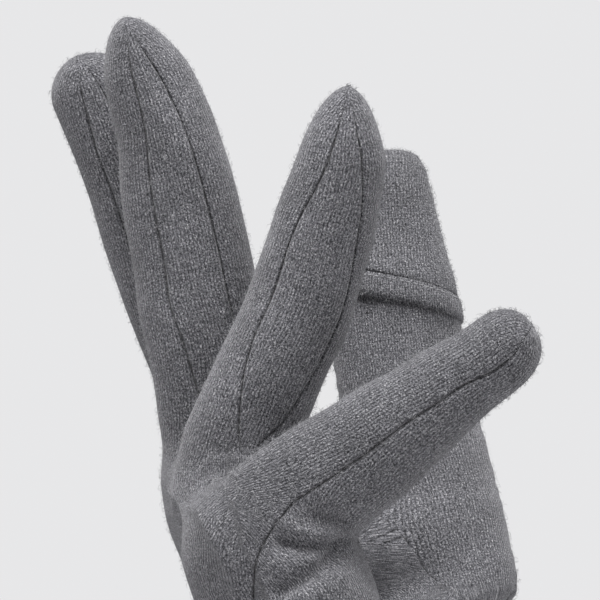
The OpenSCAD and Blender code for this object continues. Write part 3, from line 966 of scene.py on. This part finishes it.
def fuzz(body, skins, material, rng):
    """The brushed nap: short thin hairs lying over the knit, each a closed curved spike."""
    corners = []
    for skin in skins:
        mesh = skin.data
        mesh.calc_loop_triangles()
        place = np.empty(len(mesh.vertices) * 3)
        mesh.vertices.foreach_get("co", place)
        tris = np.empty(len(mesh.loop_triangles) * 3, int)
        mesh.loop_triangles.foreach_get("vertices", tris)
        corners.append(place.reshape(-1, 3)[tris.reshape(-1, 3)] / MM)
    corners = np.concatenate(corners)
    normal = np.cross(corners[:, 1] - corners[:, 0], corners[:, 2] - corners[:, 0])
    area = np.linalg.norm(normal, axis=1)
    count = int(HAIRS * (HAND_SHARE if body == "hand" else 1))
    picked = rng.choice(len(corners), count, p=area / area.sum())
    a, b = rng.random((2, count, 1))
    a, b = np.where(a + b > 1, 1 - a, a), np.where(a + b > 1, 1 - b, b)
    tri = corners[picked]
    root = tri[:, 0] + (tri[:, 1] - tri[:, 0]) * a + (tri[:, 2] - tri[:, 0]) * b
    out = unit(normal[picked])
    drift = unit(np.cross(out, rng.normal(size=(count, 3))))
    length = rng.uniform(*HAIR_LENGTH, (count, 1))
    rise = rng.uniform(*HAIR_RISE, (count, 1))
    curl = np.cross(out, drift) * rng.normal(0, 0.35, (count, 1))
    middle = root + (drift * (1 - rise) + out * rise) * length * 0.5
    tip = middle + (drift * (1 - rise * 0.3) + curl + out * rise * 0.2) * length * 0.5
    root = root - out * 0.15
    way = unit(tip - root)
    over = unit(np.cross(way, out + 0.01))
    up = np.cross(way, over)
    rings = []
    for place, size in ((root, 1.0), (middle, 0.8)):
        for k in range(3):
            turn = 2 * math.pi * k / 3
            rings.append(place + (over * math.cos(turn) + up * math.sin(turn)) * HAIR * size)
    verts = np.stack(rings + [tip], 1).reshape(-1, 3)
    faces = (np.arange(count)[:, None, None] * 7 + np.array(HAIR_FACES)[None]).reshape(-1, 3)
    zero = np.zeros(len(verts))
    piece = make("nap_" + body, verts, faces, zero, zero, zero + UNSEWN, material, thick=0)
    piece["body"] = body
    return piece


class Nodes:
    """Short calls for a material's nodes."""

    def __init__(self, name):
        self.material = bpy.data.materials.new(name)
        self.material.use_nodes = True
        self.tree = self.material.node_tree
        self.shader = self.tree.nodes["Principled BSDF"]

    def put(self, socket, value):
        if isinstance(value, bpy.types.NodeSocket):
            self.tree.links.new(value, socket)
        else:
            socket.default_value = value

    def node(self, kind, *values, **settings):
        """A new node, with its settings and the values of its first inputs."""
        node = self.tree.nodes.new("ShaderNode" + kind)
        for key, value in settings.items():
            setattr(node, key, value)
        for socket, value in zip(node.inputs, values):
            self.put(socket, value)
        return node

    def math(self, kind, a, b=0.0):
        return self.node("Math", a, b, operation=kind).outputs[0]

    def times(self, a, b):
        return self.math("MULTIPLY", a, b)

    def plus(self, a, b):
        return self.math("ADD", a, b)

    def place(self):
        return self.node("TexCoord").outputs["Object"]

    def attribute(self, name):
        return self.node("Attribute", attribute_name=name).outputs["Fac"]

    def vector(self, x, y, z):
        return self.node("CombineXYZ", x, y, z).outputs[0]

    def noise(self, vector, scale, detail=2.0, rough=0.5):
        node = self.node("TexNoise", vector)
        for key, value in (("Scale", scale), ("Detail", detail), ("Roughness", rough)):
            node.inputs[key].default_value = value
        return node.outputs[0]

    def span(self, value, low, high, out_low, out_high):
        return self.node("MapRange", value, low, high, out_low, out_high,
                         interpolation_type="SMOOTHSTEP").outputs[0]

    def colours(self, value, stops):
        node = self.node("ValToRGB", value)
        ramp = node.color_ramp
        while len(ramp.elements) < len(stops):
            ramp.elements.new(0.5)
        for element, (place, shade) in zip(ramp.elements, stops):
            element.position = place
            element.color = (*shade, 1)
        return node.outputs[0]

    def multiply(self, colour, value):
        node = self.node("VectorMath", colour, operation="SCALE")
        self.put(node.inputs["Scale"], value)
        return node.outputs[0]

    def finish(self, height, relief, **values):
        """Gives the shader its inputs and a relief."""
        bump = self.node("Bump")
        bump.inputs["Distance"].default_value = relief
        bump.inputs["Strength"].default_value = 1.0
        self.put(bump.inputs["Height"], height)
        self.put(self.shader.inputs["Normal"], bump.outputs[0])
        for key, value in values.items():
            self.put(self.shader.inputs[key.replace("_", " ")], value)
        return self.material


def knit_material(name, brightness=1.0, wale=WALE, relief=0.22):
    """Heather jersey, brushed: columns of slanting stitches, mixed light and dark fibres, and a soft nap;
    with painted shade in the gaps between the stitches and along the seams.
    """
    n = Nodes(name)
    across, along, seam = n.attribute("across"), n.attribute("along"), n.attribute("seam")
    place = n.place()
    where = n.noise(place, 260, 3.0)
    u = n.plus(n.math("DIVIDE", across, wale), n.times(where, 1.1))
    column = n.math("PINGPONG", u, 0.5)  # 0 in the gap between two columns, 0.5 at a column's middle
    slant = n.plus(n.math("DIVIDE", along, COURSE), n.times(column, 1.5))
    stitch = n.math("SINE", n.times(slant, 2 * math.pi))
    ridge = n.math("POWER", n.times(column, 2.0), 0.7)
    knit = n.plus(n.times(ridge, 0.65), n.times(n.times(stitch, column), 0.5))
    # fibres: specks drawn out along the columns, and finer ones lying any way
    drawn = n.vector(n.times(across, 3.1), n.times(along, 2.0), n.times(where, 4.0))
    yarn = n.noise(drawn, 1.0, 2.0, 0.6)
    fine = n.noise(place, 3300, 2.0, 0.6)
    cloud = n.noise(place, 55, 3.0)
    mixed = n.plus(n.times(yarn, 0.55), n.times(fine, 0.45))
    shade = n.colours(mixed, [
        (0.34, (0.012, 0.012, 0.014)), (0.43, (0.055, 0.055, 0.061)), (0.51, (0.125, 0.124, 0.135)),
        (0.59, (0.235, 0.233, 0.248)), (0.68, (0.50, 0.49, 0.50))])
    # painted shade and light that follow the stitches' relief: the colour is darker in the gaps between the
    # stitches and a little lighter on their raised middles
    stitch_painted_shade = n.span(knit, 0.0, 0.5, 0.5, 1.12)
    # painted shade along the seams: the colour darkens to half right at a seam, where the turned-in edge
    # makes a crease
    seam_painted_shade = n.span(seam, 0.05, 0.6, 0.5, 1.0)
    # the colour's level: painted shade of the stitches and the seams, times a random tone from cloud
    level = n.times(n.times(stitch_painted_shade, seam_painted_shade), n.span(cloud, 0.3, 0.7, 0.86, 1.14))
    relief_of = n.plus(n.times(knit, 0.8), n.plus(n.times(yarn, 0.7), n.times(fine, 0.7)))
    return n.finish(
        relief_of, relief * MM, Base_Color=n.multiply(shade, n.times(level, brightness)),
        Roughness=n.span(mixed, 0.35, 0.65, 0.98, 0.82), Specular_IOR_Level=0.2, Sheen_Weight=0.35,
        Sheen_Roughness=0.4, Sheen_Tint=(0.93, 0.92, 0.95, 1))


def fibre_material(name, low, high):
    """Single fibres or thread, varied from one to the next."""
    n = Nodes(name)
    place = n.place()
    tone = n.noise(place, 700, 2.0)
    shades = [(0.38, (low, low, low * 1.06)), (0.62, (high, high, high * 1.04))]
    return n.finish(n.noise(place, 5200, 2.0), 0.05 * MM, Base_Color=n.colours(tone, shades),
                    Roughness=n.span(tone, 0.3, 0.7, 0.9, 0.7), Sheen_Weight=0.2)


def floor_material():
    n = Nodes("floor")
    shades = [(0.3, (0.60, 0.60, 0.605)), (0.7, (0.63, 0.63, 0.635))]
    n.put(n.shader.inputs["Base Color"], n.colours(n.noise(n.place(), 3, 2.0), shades))
    n.shader.inputs["Roughness"].default_value = 0.9
    return n.material


materials = {
    "knit": knit_material("knit", 0.94),
    "knit_rib": knit_material("knit_rib", 0.95, WALE * 0.85, 0.3),
    "thread": fibre_material("thread", 0.12, 0.26)}
pieces = hand_pieces(materials) + finger_pieces(materials) + cap_pieces(materials) + cuff_pieces(materials)
rng = np.random.default_rng(11)
nap = fibre_material("nap", 0.10, 0.42)
for body in ("hand", "index", "middle", "ring", "little", "thumb", "thumb_cap"):
    skins = [p for p in pieces if p["body"] == body]
    skins = [p for p in skins if not any(word in p.name for word in ("stitch", "cuff", "edge"))]
    pieces.append(fuzz(body, skins, nap, rng))
ends = {d.body: cut_of(d) for d in fingers}
hinge = thumb.skin(np.array([CAP_S]), np.array([90.0]))[0]
inward = unit(0.6 * thumb.at(thumb.along, CAP_S) - 0.8 * thumb.at(thumb.back, CAP_S))
for piece in pieces:
    body = piece["body"]
    if body in ends:
        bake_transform(piece)
    elif body == "thumb":
        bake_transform(piece)
    elif body == "thumb_cap":
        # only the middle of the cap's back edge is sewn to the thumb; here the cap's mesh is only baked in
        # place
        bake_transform(piece)
    else:
        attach(piece, body)
    slot = "knit_rib" if "hem" in piece.name or "edge" in piece.name else "knit"
    if "stitch" in piece.name:
        slot = "thread"


AMBIENT = 0.25  # strength of the light from all round
LAMPS = [("key", (-0.3, 0.18, 1.2), 0.6, 22), ("side", (-0.6, -0.5, 1.0), 0.5, 6)]  # place, size and power
LAMPS_AIM = (0, 0, 0.15)
FLOOR_Z, FLOOR_R = -0.0012, 0.9
CAMERA, LENS = (-0.8, 0.017, 0.172), 211.2


def studio():
    """A pale floor, an even pale surround, a large soft lamp above and a weaker one on the palm's side."""
    scene = bpy.context.scene
    scene.view_settings.view_transform = "Standard"
    bpy.ops.mesh.primitive_circle_add(vertices=96, radius=FLOOR_R, fill_type="NGON")
    floor = bpy.context.object
    floor.name = "floor"
    floor.location.z = FLOOR_Z
    floor.data.materials.append(floor_material())
    world = bpy.data.worlds.new("studio")
    scene.world = world
    world.use_nodes = True
    tree = world.node_tree
    light, seen = tree.nodes["Background"], tree.nodes.new("ShaderNodeBackground")
    light.inputs["Color"].default_value = (0.97, 0.97, 1.0, 1)
    light.inputs["Strength"].default_value = AMBIENT
    seen.inputs["Color"].default_value = (0.80, 0.80, 0.81, 1)
    path, pick = tree.nodes.new("ShaderNodeLightPath"), tree.nodes.new("ShaderNodeMixShader")
    tree.links.new(path.outputs["Is Camera Ray"], pick.inputs[0])
    tree.links.new(light.outputs[0], pick.inputs[1])
    tree.links.new(seen.outputs[0], pick.inputs[2])
    tree.links.new(pick.outputs[0], tree.nodes["World Output"].inputs["Surface"])
    for name, place, size, power in LAMPS:
        lamp = bpy.data.objects.new(name, bpy.data.lights.new(name, "AREA"))
        lamp.data.size, lamp.data.energy = size, power
        lamp.location = place
        lamp.rotation_euler = (Vector(LAMPS_AIM) - lamp.location).to_track_quat("-Z", "Y").to_euler()
        scene.collection.objects.link(lamp)
    camera = bpy.data.objects.new("camera", bpy.data.cameras.new("camera"))
    camera.data.lens, camera.data.sensor_width = LENS, 36
    camera.location = CAMERA
    camera.rotation_euler = (math.pi / 2, 0, -math.pi / 2)
    scene.collection.objects.link(camera)
    scene.camera = camera


studio()
